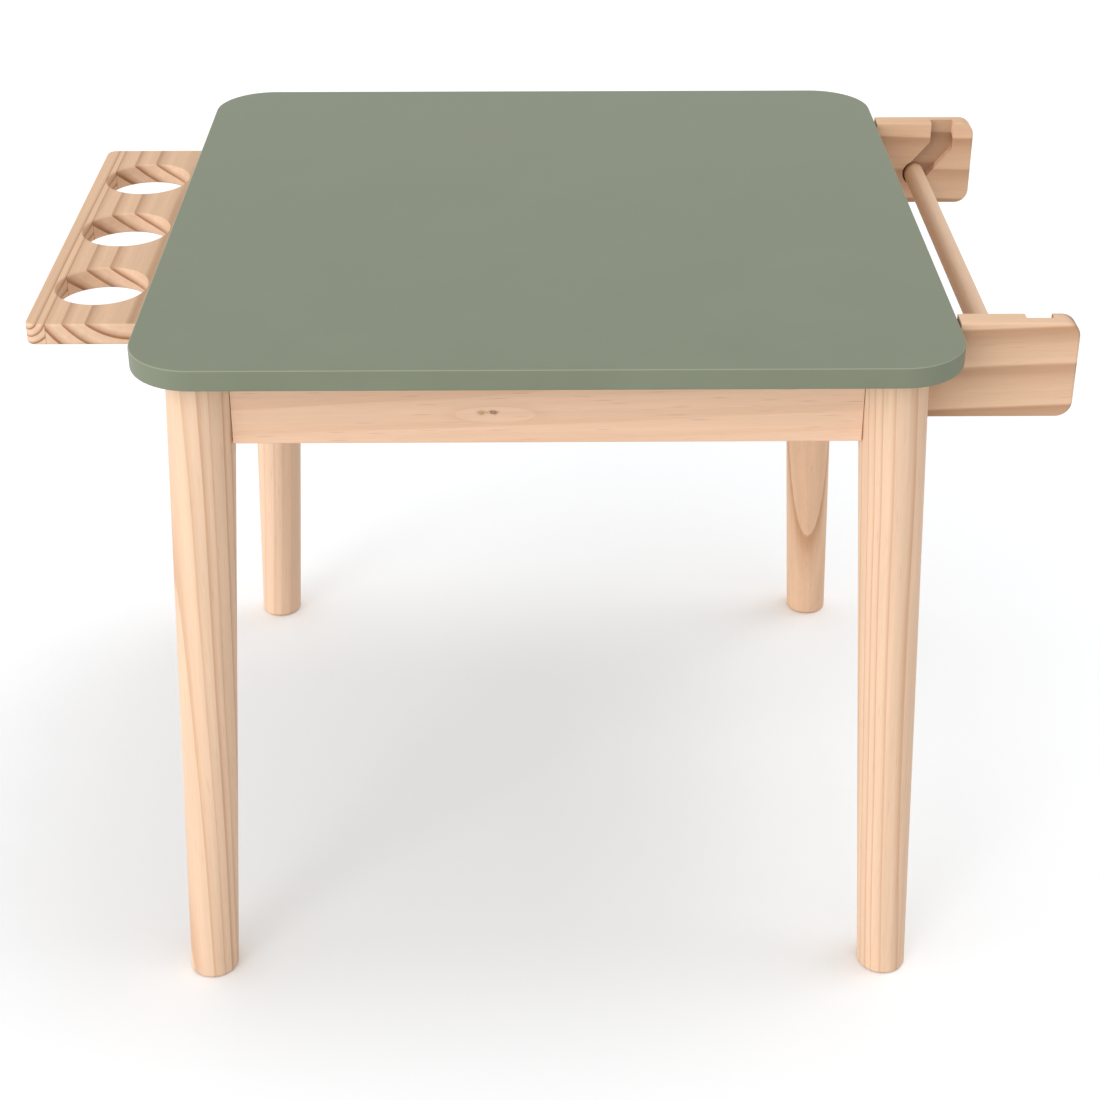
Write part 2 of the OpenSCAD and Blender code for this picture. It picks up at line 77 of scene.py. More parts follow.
class NodeSheet:
    """The node tree of one material or world while it is laid out."""

    def __init__(self, tree: bpy.types.NodeTree) -> None:
        """Empties the tree that is to be laid out."""
        self.tree = tree
        tree.nodes.clear()

    def add(
        self, kind: str, links: dict | None = None, stops: tuple = (), **settings: Any
    ) -> bpy.types.Node:
        """Adds one node.

        Args:
            kind: the node's type, without the ShaderNode that all of them begin with.
            links: for an input's name or number, a node or socket to link, or a value.
            stops: places and grey levels of a colour ramp, its two ends first.
            **settings: the node's own properties.

        Returns:
            The new node.
        """
        node = self.tree.nodes.new("ShaderNode" + kind)
        for name, value in settings.items():
            setattr(node, name, value)
        for i, (place, level) in enumerate(stops):
            elements = node.color_ramp.elements
            stop = elements[i] if i < 2 else elements.new(place)
            stop.position = place
            stop.color = (level, level, level, 1.0)
        for name, value in (links or {}).items():
            if isinstance(value, bpy.types.Node):
                value = next(socket for socket in value.outputs if socket.enabled)
            if isinstance(value, bpy.types.NodeSocket):
                self.tree.links.new(value, node.inputs[name])
            else:
                node.inputs[name].default_value = value
        return node


def new_sheet(name: str) -> tuple[bpy.types.Material, NodeSheet]:
    """Makes an empty material.

    Args:
        name: what the material is called.

    Returns:
        The material, and the sheet that its nodes are laid out on.
    """
    material = bpy.data.materials.new(name)
    material.use_nodes = True
    return material, NodeSheet(material.node_tree)


@dataclass(frozen=True)
class Trunk:
    """Where a piece of wood lay in its trunk. Lengths in millimetres.

    Attributes:
        pith: a point on the trunk's middle line, which the rings go round.
        ring_width: width of a year's ring.
        first_ring: how much of a ring lies inside the first whole one.
    """

    pith: Triple
    ring_width: float
    first_ring: float = 0.0


@dataclass(frozen=True)
class Knot:
    """A knot in a board, where a branch left the trunk. Lengths in millimetres.

    Attributes:
        place: the knot's middle.
        half_length: half its length along the board.
        half_height: half its height.
        colour: colour of its wood.
        depth: how far that colour covers the board's.
        swirl: how far the rings round it are pushed aside.
        swirl_length: half length of the place where they are.
        swirl_height: half height of that place.
    """

    place: Triple
    half_length: float
    half_height: float
    colour: str
    depth: float
    swirl: float = 0.0
    swirl_length: float = 1.0
    swirl_height: float = 1.0


@dataclass(frozen=True)
class GluedStrip:
    """A second plank glued to a board's side, from the seam's X in millimetres outwards."""

    seam_x: float
    trunk: Trunk


@dataclass(frozen=True)
class PineFinish:
    """Pale pine under matt clear lacquer, with growth rings that run through the solid.

    Attributes:
        name: what the material is called.
        grain: direction of the fibres.
        trunk: where the piece lay in its trunk.
        seed: what makes one piece's figure differ from another's.
        early: colour of the pale wood that grows early in the year.
        late: colour of the dark wood that grows late in the year.
        sawn_end: colour of the early wood on a sawn end.
        resin: colour of the resin canals.
        streak: strength of the long tinted streaks.
        contrast: how far the late wood's colour shows.
        late_share: share of a ring that the dark wood takes.
        unevenness: how far good and bad years differ in width.
        wander: how far the rings stray from circles, in millimetres.
        canals: strength of the dashes that resin canals leave.
        knots: the knots in the piece.
        strip: a plank glued to its side.
        slot_shade_span: lowest and highest Y, in millimetres, between which a slot has its floor, which
            is given painted shade.
        roughness: least and greatest roughness of the lacquered surface.
        specular: strength of its reflections.
        relief: height of its relief, in millimetres.
    """

    name: str
    grain: Triple
    trunk: Trunk
    seed: float
    early: str = "#f6cdae"
    late: str = "#cf9b74"
    sawn_end: str = "#f1cdae"
    resin: str = "#8c5a38"
    streak: float = 1.0
    contrast: float = 0.75
    late_share: float = 0.3
    unevenness: float = 1.0
    wander: float = 9.0
    canals: float = 0.18
    knots: tuple[Knot, ...] = ()
    strip: GluedStrip | None = None
    slot_shade_span: Pair | None = None
    roughness: Pair = (0.50, 0.60)
    specular: float = 0.32
    relief: float = 0.12

    def build(self) -> bpy.types.Material:
        """Lays out the material.

        Returns:
            The material.
        """
        # Softwood keeps its warm, pale colour under a matt film: the eye sees brown
        # bands of late wood with a soft inner side, fine fibres and a broad, dull sheen
        material, sheet = new_sheet(self.name)
        place = sheet.add("TexCoord").outputs["Object"]
        wood = self._turned(sheet, place, self.trunk)
        rings = self._rings(sheet, place, self.trunk, self.seed)
        if self.strip:
            rings = self._with_strip(sheet, place, rings)
        end = self._sawn_end(sheet)
        rings_on_end = 0.6
        darker = sheet.add("Math", {0: end, 1: rings_on_end, 2: 1.0}, operation="MULTIPLY_ADD")
        rings = sheet.add("Math", {0: darker, 1: rings}, operation="MULTIPLY", use_clamp=True)
        # Fibres nearly half a millimetre wide, over ten times the real ones, so that they show
        fibres = sheet.add("TexNoise", {
            "Vector": sheet.add("VectorMath", {0: wood, 1: repeats(0.455, 0.455, 28.6)},
                                operation="MULTIPLY"),
            "W": self.seed + 5, "Scale": 1.0, "Detail": 2.0, "Roughness": 0.7}, noise_dimensions="4D")
        colour = self._two_woods(sheet, rings, end)
        colour = self._toned(sheet, wood, colour, fibres)
        colour = self._with_canals(sheet, wood, colour)
        for knot in self.knots:
            colour = self._with_knot(sheet, place, colour, knot)
        # Painted shade: a slot's floor is darkened to stand in for the shade inside the slot
        if self.slot_shade_span:
            colour = self._with_painted_slot_shade(sheet, place, colour)
        least, greatest = self.roughness
        gloss = sheet.add("MapRange", {"Value": fibres, **NOISE, "To Min": least, "To Max": greatest})
        # Late wood is hard and stands a little proud of the sanded early wood
        proud = 0.35
        height = sheet.add("Math", {0: rings, 1: proud, 2: fibres}, operation="MULTIPLY_ADD")
        relief = sheet.add("Bump", {"Strength": 0.5, "Distance": self.relief * MM, "Height": height})
        surface = sheet.add("BsdfPrincipled", {"Base Color": colour, "Roughness": gloss,
                                               "Normal": relief, "Specular IOR Level": self.specular})
        sheet.add("OutputMaterial", {"Surface": surface})
        return material

    def _turned(self, sheet: NodeSheet, place: Source, trunk: Trunk) -> bpy.types.Node:
        """Moves and turns places into the trunk.

        Args:
            sheet: the sheet that this is laid out on.
            place: places on the object, in metres.
            trunk: the trunk.

        Returns:
            A node that gives millimetres, with the pith at the origin and the fibres along Z.
        """
        turn = Vector(self.grain).rotation_difference(Vector((0, 0, 1))).to_matrix()
        shift = -(turn @ Vector(trunk.pith))
        return sheet.add("Mapping", {"Vector": place, "Location": shift, "Rotation": turn.to_euler(),
                                     "Scale": (1 / MM,) * 3}, vector_type="POINT")

    def _rings(self, sheet: NodeSheet, place: Source, trunk: Trunk, seed: float) -> bpy.types.Node:
        """Lays out growth rings.

        Args:
            sheet: the sheet that they are laid out on.
            place: places on the object, in metres.
            trunk: where the wood lay in its trunk.
            seed: what makes one plank differ from another.

        Returns:
            A node that gives 0 in pale early wood and up to 1 in dark late wood.
        """
        wood = self._turned(sheet, place, trunk)
        # The rings bend in waves 91 mm across and 455 mm along the fibres
        slow = sheet.add("TexNoise", {
            "Vector": sheet.add("VectorMath", {0: wood, 1: repeats(91.0, 91.0, 455.0)},
                                operation="MULTIPLY"),
            "W": seed, "Scale": 1.0, "Detail": 2.0}, noise_dimensions="4D")
        drift = sheet.add("VectorMath", {0: slow.outputs["Color"], 1: (0.5, 0.5, 0.5)},
                          operation="SUBTRACT")
        reach = 2 * self.wander
        bent = sheet.add("VectorMath", {0: drift, 1: (reach, reach, 0.0), 2: wood},
                         operation="MULTIPLY_ADD")
        flat = sheet.add("VectorMath", {0: bent, 1: (1.0, 1.0, 0.0)}, operation="MULTIPLY")
        radius = sheet.add("VectorMath", {0: flat}, operation="LENGTH").outputs["Value"]
        for knot in self.knots:
            if knot.swirl:
                radius = self._swirled(sheet, place, radius, knot)
        years = self._years(sheet, radius, trunk)
        late = self._late_wood(sheet, years)
        # Some years' late wood is weaker, and it fades here and there along the board
        weakest, faded = 0.6, 0.75
        year = sheet.add("Math", {0: sheet.add("Math", {0: years}, operation="FLOOR"), 1: seed})
        weight = sheet.add("MapRange", {
            "Value": sheet.add("TexWhiteNoise", {"W": year}, noise_dimensions="1D").outputs["Value"],
            "To Min": weakest, "To Max": 1.0})
        fade = sheet.add("MapRange", {"Value": slow, **NOISE, "To Min": faded * self.contrast,
                                      "To Max": self.contrast})
        strength = sheet.add("Math", {0: weight, 1: fade}, operation="MULTIPLY")
        return sheet.add("Math", {0: late, 1: strength}, operation="MULTIPLY")

    def _years(self, sheet: NodeSheet, radius: Source, trunk: Trunk) -> bpy.types.Node:
        """Counts the rings from the pith.

        Args:
            sheet: the sheet that this is laid out on.
            radius: distance from the pith, in millimetres.
            trunk: where the wood lay in its trunk.

        Returns:
            A node that grows by 1 with each ring.
        """
        # Good and bad years come in spells of about two, and move the rings by up to a
        # third of their width
        spell = 2.22 * trunk.ring_width
        most = 1.7 * trunk.ring_width * self.unevenness
        uneven = sheet.add("TexNoise", {"W": radius, "Scale": 1 / spell, "Detail": 1.0},
                           noise_dimensions="1D")
        uneven = sheet.add("Math", {0: uneven, 1: 0.5}, operation="SUBTRACT")
        swing = sheet.add("Math", {0: uneven, 1: most, 2: radius}, operation="MULTIPLY_ADD")
        swing = sheet.add("Math", {0: swing, 1: trunk.first_ring}, operation="ADD")
        return sheet.add("Math", {0: swing, 1: trunk.ring_width}, operation="DIVIDE")

    def _late_wood(self, sheet: NodeSheet, years: Source) -> bpy.types.Node:
        """Lays out the dark part of each ring.

        Args:
            sheet: the sheet that it is laid out on.
            years: the count of rings.

        Returns:
            A node that gives up to 1 in the dark part.
        """
        # Dark wood comes slowly through the summer and ends at once with the winter
        share = self.late_share
        phase = sheet.add("Math", {0: years}, operation="FRACT")
        return sheet.add("ValToRGB", {"Fac": phase}, stops=(
            (0.0, 0.1), (1.0, 0.1), (1.0 - 2 * share, 0.0), (1.0 - share, 0.35),
            (1.0 - share / 2, 0.8), (1.0 - share / 6, 1.0), (1.0 - share / 12, 0.8)))

    def _sawn_end(self, sheet: NodeSheet) -> bpy.types.Node:
        """Finds sawn ends, which are paler and show the rings darker.

        Args:
            sheet: the sheet that this is laid out on.

        Returns:
            A node that gives 0 along the fibres and 1 across them.
        """
        # A face that leans starts to look sawn well before it is square to the fibres
        first_signs, fully_sawn = 0.3, 0.9
        across = sheet.add("VectorMath", {0: sheet.add("TexCoord").outputs["Normal"], 1: self.grain},
                           operation="DOT_PRODUCT").outputs["Value"]
        across = sheet.add("Math", {0: across}, operation="ABSOLUTE")
        return sheet.add("MapRange", {"Value": across, "From Min": first_signs,
                                      "From Max": fully_sawn})

    def _two_woods(self, sheet: NodeSheet, rings: Source, end: Source) -> bpy.types.Node:
        """Colours early and late wood.

        Args:
            sheet: the sheet that this is laid out on.
            rings: share of late wood.
            end: 1 on a sawn end.

        Returns:
            The node that gives the colour.
        """
        pale = sheet.add("Mix", {0: end, 6: linear_colour(self.early), 7: linear_colour(self.sawn_end)},
                         data_type="RGBA")
        return sheet.add("Mix", {0: rings, 6: pale, 7: linear_colour(self.late)}, data_type="RGBA")

    def _toned(
        self, sheet: NodeSheet, wood: Source, colour: Source, fibres: Source
    ) -> bpy.types.Node:
        """Lightens and darkens the wood in long streaks and fine fibres.

        Args:
            sheet: the sheet that this is laid out on.
            wood: places in the trunk, in millimetres.
            colour: the wood's colour.
            fibres: the fibres' pattern.

        Returns:
            The node that gives the toned colour.
        """
        # Streaks 6 mm wide and 290 mm long, which darken more than they lighten
        darkest, lightest = 1.0 - 0.08 * self.streak, 1.0 + 0.04 * self.streak
        streaks = sheet.add("TexNoise", {
            "Vector": sheet.add("VectorMath", {0: wood, 1: repeats(6.25, 6.25, 286.0)},
                                operation="MULTIPLY"),
            "W": self.seed, "Scale": 1.0, "Detail": 3.0, "Roughness": 0.6}, noise_dimensions="4D")
        tone = sheet.add("MapRange", {"Value": streaks, **NOISE, "To Min": darkest,
                                      "To Max": lightest})
        # Fibres are up to 6 parts in a hundred darker, or 5 lighter
        fine = sheet.add("MapRange", {"Value": fibres, "From Min": 0.25, "From Max": 0.75,
                                      "To Min": 0.94, "To Max": 1.05})
        value = sheet.add("Math", {0: tone, 1: fine}, operation="MULTIPLY")
        return sheet.add("VectorMath", {0: colour, "Scale": value}, operation="SCALE")

    def _with_strip(self, sheet: NodeSheet, place: Source, rings: Source) -> bpy.types.Node:
        """Adds the rings of the plank glued on beyond the seam, and a fine dark seam.

        Args:
            sheet: the sheet that this is laid out on.
            place: places on the object, in metres.
            rings: the main plank's rings.

        Returns:
            A node that gives the rings of both planks.
        """
        seam_x = self.strip.seam_x * MM
        seam_half_width = 0.25 * MM
        seam_darkness = 0.35
        other = self._rings(sheet, place, self.strip.trunk, self.seed + 3)
        across = sheet.add("SeparateXYZ", {0: place}).outputs["X"]
        beyond = sheet.add("Math", {0: across, 1: seam_x}, operation="LESS_THAN")
        both = sheet.add("Mix", {0: beyond, 2: rings, 3: other})
        seam = sheet.add("Math", {0: across, 1: seam_x, 2: seam_half_width}, operation="COMPARE")
        return sheet.add("Math", {0: seam, 1: seam_darkness, 2: both}, operation="MULTIPLY_ADD")

    def _with_canals(self, sheet: NodeSheet, wood: Source, colour: Source) -> bpy.types.Node:
        """Adds the short dark dashes that resin canals leave on cut pine.

        Args:
            sheet: the sheet that they are laid out on.
            wood: places in the trunk, in millimetres.
            colour: the wood's colour.

        Returns:
            The node that gives the colour with its dashes.
        """
        # One dash in each cell, up to 0.9 mm wide and 21 mm long with its faint edge,
        # which is a few times the real width, so that it shows
        faint_edge, dark_core = 0.19, 0.05
        cells = sheet.add("TexVoronoi", {
            "Vector": sheet.add("VectorMath", {0: wood, 1: repeats(2.38, 2.38, 55.6)},
                                operation="MULTIPLY"),
            "Scale": 1.0})
        dash = sheet.add("MapRange", {"Value": cells.outputs["Distance"], "From Min": faint_edge,
                                      "From Max": dark_core, "To Min": 0.0, "To Max": self.canals})
        return sheet.add("Mix", {0: dash, 6: colour, 7: linear_colour(self.resin)}, data_type="RGBA")

    def _with_painted_slot_shade(self, sheet: NodeSheet, place: Source, colour: Source) -> bpy.types.Node:
        """Paints shade on a slot's floor: darkens the faces inside the slot's layer that face along Y,
        standing in for the shade that falls in the slot.

        Args:
            sheet: the sheet that this is laid out on.
            place: places on the object, in metres.
            colour: the wood's colour.

        Returns:
            The node that gives the colour with the painted shade.
        """
        # Painted shade: the slot's floor is drawn this much darker
        painted_slot_shade, facing_y = 0.72, 0.9
        lowest, highest = self.slot_shade_span
        middle, half = (lowest + highest) / 2 * MM, (highest - lowest) / 2 * MM
        depth = sheet.add("SeparateXYZ", {0: place}).outputs["Y"]
        inside = sheet.add("Math", {0: depth, 1: middle, 2: half}, operation="COMPARE")
        facing = sheet.add("SeparateXYZ", {0: sheet.add("TexCoord").outputs["Normal"]}).outputs["Y"]
        facing = sheet.add("Math", {0: facing}, operation="ABSOLUTE")
        flat = sheet.add("Math", {0: facing, 1: facing_y}, operation="GREATER_THAN")
        both = sheet.add("Math", {0: inside, 1: flat}, operation="MULTIPLY")
        value = sheet.add("MapRange", {"Value": both, "To Min": 1.0, "To Max": painted_slot_shade})
        return sheet.add("VectorMath", {0: colour, "Scale": value}, operation="SCALE")

    def _from_knot(
        self, sheet: NodeSheet, place: Source, knot: Knot, size: Pair
    ) -> bpy.types.NodeSocket:
        """Measures the distance from a knot.

        Args:
            sheet: the sheet that it is laid out on.
            place: places on the object, in metres.
            knot: the knot.
            size: half length along X and Y, and half height, at which the distance is 1.

        Returns:
            The socket that gives the distance.
        """
        scale = Vector((1 / (size[0] * MM), 1 / (size[0] * MM), 1 / (size[1] * MM)))
        middle = Vector([-part * MM * times for part, times in zip(knot.place, scale)])
        seen = sheet.add("Mapping", {"Vector": place, "Location": middle, "Scale": scale})
        return sheet.add("VectorMath", {0: seen}, operation="LENGTH").outputs["Value"]

    def _swirled(
        self, sheet: NodeSheet, place: Source, radius: Source, knot: Knot
    ) -> bpy.types.Node:
        """Pushes the rings aside round a knot.

        Args:
            sheet: the sheet that this is laid out on.
            place: places on the object, in metres.
            radius: distance from the pith, in millimetres.
            knot: the knot.

        Returns:
            A node that gives the changed distance.
        """
        away = self._from_knot(sheet, place, knot, (knot.swirl_length, knot.swirl_height))
        push = sheet.add("MapRange", {"Value": away, "From Min": 0.0, "From Max": 1.0,
                                      "To Min": knot.swirl, "To Max": 0.0},
                         interpolation_type="SMOOTHERSTEP")
        return sheet.add("Math", {0: radius, 1: push}, operation="ADD")

    def _with_knot(
        self, sheet: NodeSheet, place: Source, colour: Source, knot: Knot
    ) -> bpy.types.Node:
        """Adds a knot's own dark, ringed wood.

        Args:
            sheet: the sheet that it is laid out on.
            place: places on the object, in metres.
            colour: the board's colour.
            knot: the knot.

        Returns:
            The node that gives the colour with the knot.
        """
        # Its edge is soft and ragged at 2 mm, and it has one or two rings of its own
        raggedness, faint_edge, dark_core = 0.9, 1.6, 0.75
        own_rings, palest = 9.0, 0.55
        away = self._from_knot(sheet, place, knot, (knot.half_length, knot.half_height))
        ragged = sheet.add("TexNoise", {"Vector": place, "Scale": 1 / (2 * MM), "Detail": 2.0})
        edge = sheet.add("Math", {0: ragged, 1: raggedness, 2: away}, operation="MULTIPLY_ADD")
        inside = sheet.add("MapRange", {"Value": edge, "From Min": faint_edge,
                                        "From Max": dark_core, "To Min": 0.0, "To Max": knot.depth})
        own = sheet.add("Math", {0: edge, 1: own_rings}, operation="MULTIPLY")
        own = sheet.add("Math", {0: own}, operation="SINE")
        own = sheet.add("MapRange", {"Value": own, "From Min": -1.0, "From Max": 1.0,
                                     "To Min": palest, "To Max": 1.0})
        amount = sheet.add("Math", {0: inside, 1: own}, operation="MULTIPLY")
        return sheet.add("Mix", {0: amount, 6: colour, 7: linear_colour(knot.colour)},
                         data_type="RGBA")


@dataclass(frozen=True)
class PaintFinish:
    """Satin paint rolled on a sanded board. Lengths in millimetres.

    Attributes:
        name: what the material is called.
        light_patch: colour where the film is thicker.
        dark_patch: colour where it is thinner.
        rim_highlight: colour of the painted highlight along the rounded rim.
        rim_highlight_strength: how far the painted highlight covers the rim.
        patch_size: width of the patches.
        line_size: length and pitch of the grain lines that show through along X.
        dimple_size: width of the roller's dimples.
        roughness: least and greatest roughness.
        specular: strength of the reflections.
        relief: height of dimples and lines.
    """

    name: str = "satin sage paint"
    light_patch: str = "#818874"
    dark_patch: str = "#7b826d"
    rim_highlight: str = "#c9c9b0"
    rim_highlight_strength: float = 0.28
    patch_size: float = 71.4
    line_size: Pair = (167.0, 2.22)
    dimple_size: float = 1.54
    roughness: Pair = (0.44, 0.54)
    specular: float = 0.25
    relief: float = 0.06

    def build(self) -> bpy.types.Material:
        """Lays out the material.

        Returns:
            The material.
        """
        # Satin paint gives an even grey green and a soft low sheen, with a painted highlight along the
        # rounded rim
        material, sheet = new_sheet(self.name)
        place = sheet.add("TexCoord").outputs["Object"]
        cloud = sheet.add("TexNoise", {"Vector": place, "Scale": 1 / (self.patch_size * MM),
                                       "Detail": 4.0, "Roughness": 0.55})
        patch = sheet.add("MapRange", {"Value": cloud, **NOISE})
        colour = sheet.add("Mix", {0: patch, 6: linear_colour(self.dark_patch),
                                   7: linear_colour(self.light_patch)}, data_type="RGBA")
        # The rounded upper rim is where the surface tilts between flat and upright; the paint is drawn
        # paler there, as a painted highlight
        tilt = sheet.add("SeparateXYZ", {0: sheet.add("TexCoord").outputs["Normal"]}).outputs["Z"]
        rim = sheet.add("ValToRGB", {"Fac": tilt}, stops=(
            (0.0, 0.0), (1.0, 0.0), (0.3, 0.0), (0.6, self.rim_highlight_strength), (0.85, self.rim_highlight_strength)))
        colour = sheet.add("Mix", {0: rim, 6: colour, 7: linear_colour(self.rim_highlight)},
                           data_type="RGBA")
        length, pitch = (1 / (size * MM) for size in self.line_size)
        stretched = sheet.add("Mapping", {"Vector": place, "Scale": (length, pitch, pitch)})
        lines = sheet.add("TexNoise", {"Vector": stretched, "Scale": 1.0, "Detail": 2.0})
        dimples = sheet.add("TexNoise", {"Vector": place, "Scale": 1 / (self.dimple_size * MM),
                                         "Detail": 1.0})
        # The lines stand half as high as the dimples
        height = sheet.add("Math", {0: lines, 1: 0.5, 2: dimples}, operation="MULTIPLY_ADD")
        relief = sheet.add("Bump", {"Strength": 0.35, "Distance": self.relief * MM, "Height": height})
        least, greatest = self.roughness
        gloss = sheet.add("MapRange", {"Value": cloud, **NOISE, "To Min": least, "To Max": greatest})
        surface = sheet.add("BsdfPrincipled", {"Base Color": colour, "Roughness": gloss,
                                               "Normal": relief, "Specular IOR Level": self.specular})
        sheet.add("OutputMaterial", {"Surface": surface})
        return material


@dataclass(frozen=True)
class MetalFinish:
    """Plated or turned metal with fine tool marks. Lengths in millimetres.

    Attributes:
        name: what the material is called.
        colour: colour of the clean metal.
        tarnish: colour of its duller patches.
        roughness: least and greatest roughness.
        patch_size: width of the dull patches.
        mark_pitch: distance between tool marks.
        relief: height of the tool marks.
    """

    name: str
    colour: str
    tarnish: str
    roughness: Pair
    patch_size: float = 6.25
    mark_pitch: float = 0.25
    relief: float = 0.02

    def build(self) -> bpy.types.Material:
        """Lays out the material.

        Returns:
            The material.
        """
        # Metal shows small bright highlights, broken up by tool marks and dull patches
        material, sheet = new_sheet(self.name)
        place = sheet.add("TexCoord").outputs["Object"]
        cloud = sheet.add("TexNoise", {"Vector": place, "Scale": 1 / (self.patch_size * MM),
                                       "Detail": 3.0})
        # The tarnish takes only the denser parts of the cloud
        patch = sheet.add("MapRange", {"Value": cloud, "From Min": 0.4, "From Max": 0.7})
        colour = sheet.add("Mix", {0: patch, 6: linear_colour(self.colour),
                                   7: linear_colour(self.tarnish)}, data_type="RGBA")
        marks = sheet.add("TexNoise", {"Vector": place, "Scale": 1 / (self.mark_pitch * MM),
                                       "Detail": 2.0})
        least, greatest = self.roughness
        gloss = sheet.add("MapRange", {"Value": marks, **NOISE, "To Min": least, "To Max": greatest})
        relief = sheet.add("Bump", {"Strength": 0.3, "Distance": self.relief * MM, "Height": marks})
        surface = sheet.add("BsdfPrincipled", {"Base Color": colour, "Metallic": 1.0,
                                               "Roughness": gloss, "Normal": relief})
        sheet.add("OutputMaterial", {"Surface": surface})
        return material


@dataclass(frozen=True)
class BeechFinish:
    """Bare beech dowel with its dark flecks. Lengths in millimetres.

    Attributes:
        name: what the material is called.
        colour: colour of the wood.
        fleck: colour of the flecks.
        fleck_pitch: distance between flecks.
        depth: how far the flecks cover the wood's colour.
        roughness: how dull it is.
        relief: height of the flecks.
    """

    name: str = "bare beech"
    colour: str = "#c9a079"
    fleck: str = "#a1734b"
    fleck_pitch: float = 1.11
    depth: float = 0.6
    roughness: float = 0.62
    relief: float = 0.05

    def build(self) -> bpy.types.Material:
        """Lays out the material.

        Returns:
            The material.
        """
        # Bare beech is a dull, even tan with fine darker flecks
        material, sheet = new_sheet(self.name)
        place = sheet.add("TexCoord").outputs["Object"]
        faint_edge, dark_core = 0.45, 0.15
        cells = sheet.add("TexVoronoi", {"Vector": place, "Scale": 1 / (self.fleck_pitch * MM)})
        fleck = sheet.add("MapRange", {"Value": cells.outputs["Distance"], "From Min": faint_edge,
                                       "From Max": dark_core, "To Min": 0.0, "To Max": self.depth})
        colour = sheet.add("Mix", {0: fleck, 6: linear_colour(self.colour),
                                   7: linear_colour(self.fleck)}, data_type="RGBA")
        relief = sheet.add("Bump", {"Strength": 0.3, "Distance": self.relief * MM, "Height": fleck})
        surface = sheet.add("BsdfPrincipled", {"Base Color": colour, "Roughness": self.roughness,
                                               "Normal": relief})
        sheet.add("OutputMaterial", {"Surface": surface})
        return material


def dress(node: str, material: bpy.types.Material) -> None:
    """Gives a CAD node one material all over.

    Args:
        node: the node's name.
        material: its new material.
    """
    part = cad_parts[node]
    for slot in part.material_slots:
        slot.link = "DATA"
        slot.material = material
    if not part.material_slots:
        part.data.materials.append(material)
    log.info("dressed %s in %s", node, material.name)


@dataclass
class Tabletop:
    """The painted square top."""

    finish: PaintFinish = PaintFinish()

    def build(self) -> None:
        """Paints the top."""
        dress("tabletop", self.finish.build())


@dataclass(frozen=True)
class Stick:
    """The stick of pine that a leg is turned from. Lengths in millimetres.

    Attributes:
        side: signs of X and Y of the leg's place.
        pith: the pith's place across, from the middle of the leg.
        ring_width: width of a year's ring.
        first_ring: how much of a ring lies inside the first whole one.
        late_share: share of a ring that the dark wood takes.
        lean: how far the fibres stray from the leg's line, for each unit along it.
        seed: what makes its figure differ from the others'.
        early: colour of the early wood.
        late: colour of the late wood.
        contrast: how far the late wood's colour shows.
    """

    side: tuple[int, int]
    pith: Pair
    ring_width: float
    first_ring: float
    late_share: float
    lean: Pair
    seed: float
    early: str
    late: str
    contrast: float


@dataclass
class LegSet:
    """The four splayed legs, each cut from its own stick. Lengths in millimetres.

    Attributes:
        top_offset: distance of a leg's upper end from the table's middle lines.
        foot_offset: the same at the floor.
        wander: how far the rings stray from circles.
    """

    top_offset: float = 250.0
    foot_offset: float = 275.0
    wander: float = 4.0

    def build(self) -> None:
        """Dresses each leg in pine whose fibres run along the leg."""
        sticks = {
            "leg_front_left": Stick(
                side=(-1, -1), pith=(66, 26), ring_width=8.5, first_ring=2.0, late_share=0.3,
                lean=(-0.052, 0.0), seed=11.0, early="#f2cfb0", late="#c9946c", contrast=0.8),
            "leg_front_right": Stick(
                side=(1, -1), pith=(-60, 26), ring_width=7.0, first_ring=0.0, late_share=0.2,
                lean=(0.02, 0.01), seed=23.0, early="#f0ccad", late="#cc9972", contrast=0.8),
            "leg_rear_left": Stick(
                side=(-1, 1), pith=(60, -20), ring_width=9.0, first_ring=0.0, late_share=0.25,
                lean=(0.015, 0.0), seed=37.0, early="#f6d1b3", late="#e0b18b", contrast=0.6),
            "leg_rear_right": Stick(
                side=(1, 1), pith=(2, 48), ring_width=12.0, first_ring=4.8, late_share=0.16,
                lean=(0.0, 0.067), seed=53.0, early="#f4caa7", late="#bf865d", contrast=0.85),
        }
        for node, stick in sticks.items():
            dress(node, self._finish(node, stick).build())

    def _finish(self, node: str, stick: Stick) -> PineFinish:
        """Works out one leg's finish.

        Args:
            node: the leg's name.
            stick: what it is turned from.

        Returns:
            The finish.
        """
        side_x, side_y = stick.side
        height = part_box(node)[1].z / MM
        top = Vector((side_x * self.top_offset, side_y * self.top_offset, height))
        foot = Vector((side_x * self.foot_offset, side_y * self.foot_offset, 0))
        grain = (top - foot).normalized() + Vector((*stick.lean, 0))
        pith = (top + foot) / 2 + Vector((*stick.pith, 0))
        return PineFinish(
            f"pine {node}", tuple(grain.normalized()),
            Trunk(tuple(pith), stick.ring_width, stick.first_ring), stick.seed,
            early=stick.early, late=stick.late, contrast=stick.contrast,
            late_share=stick.late_share, wander=self.wander)


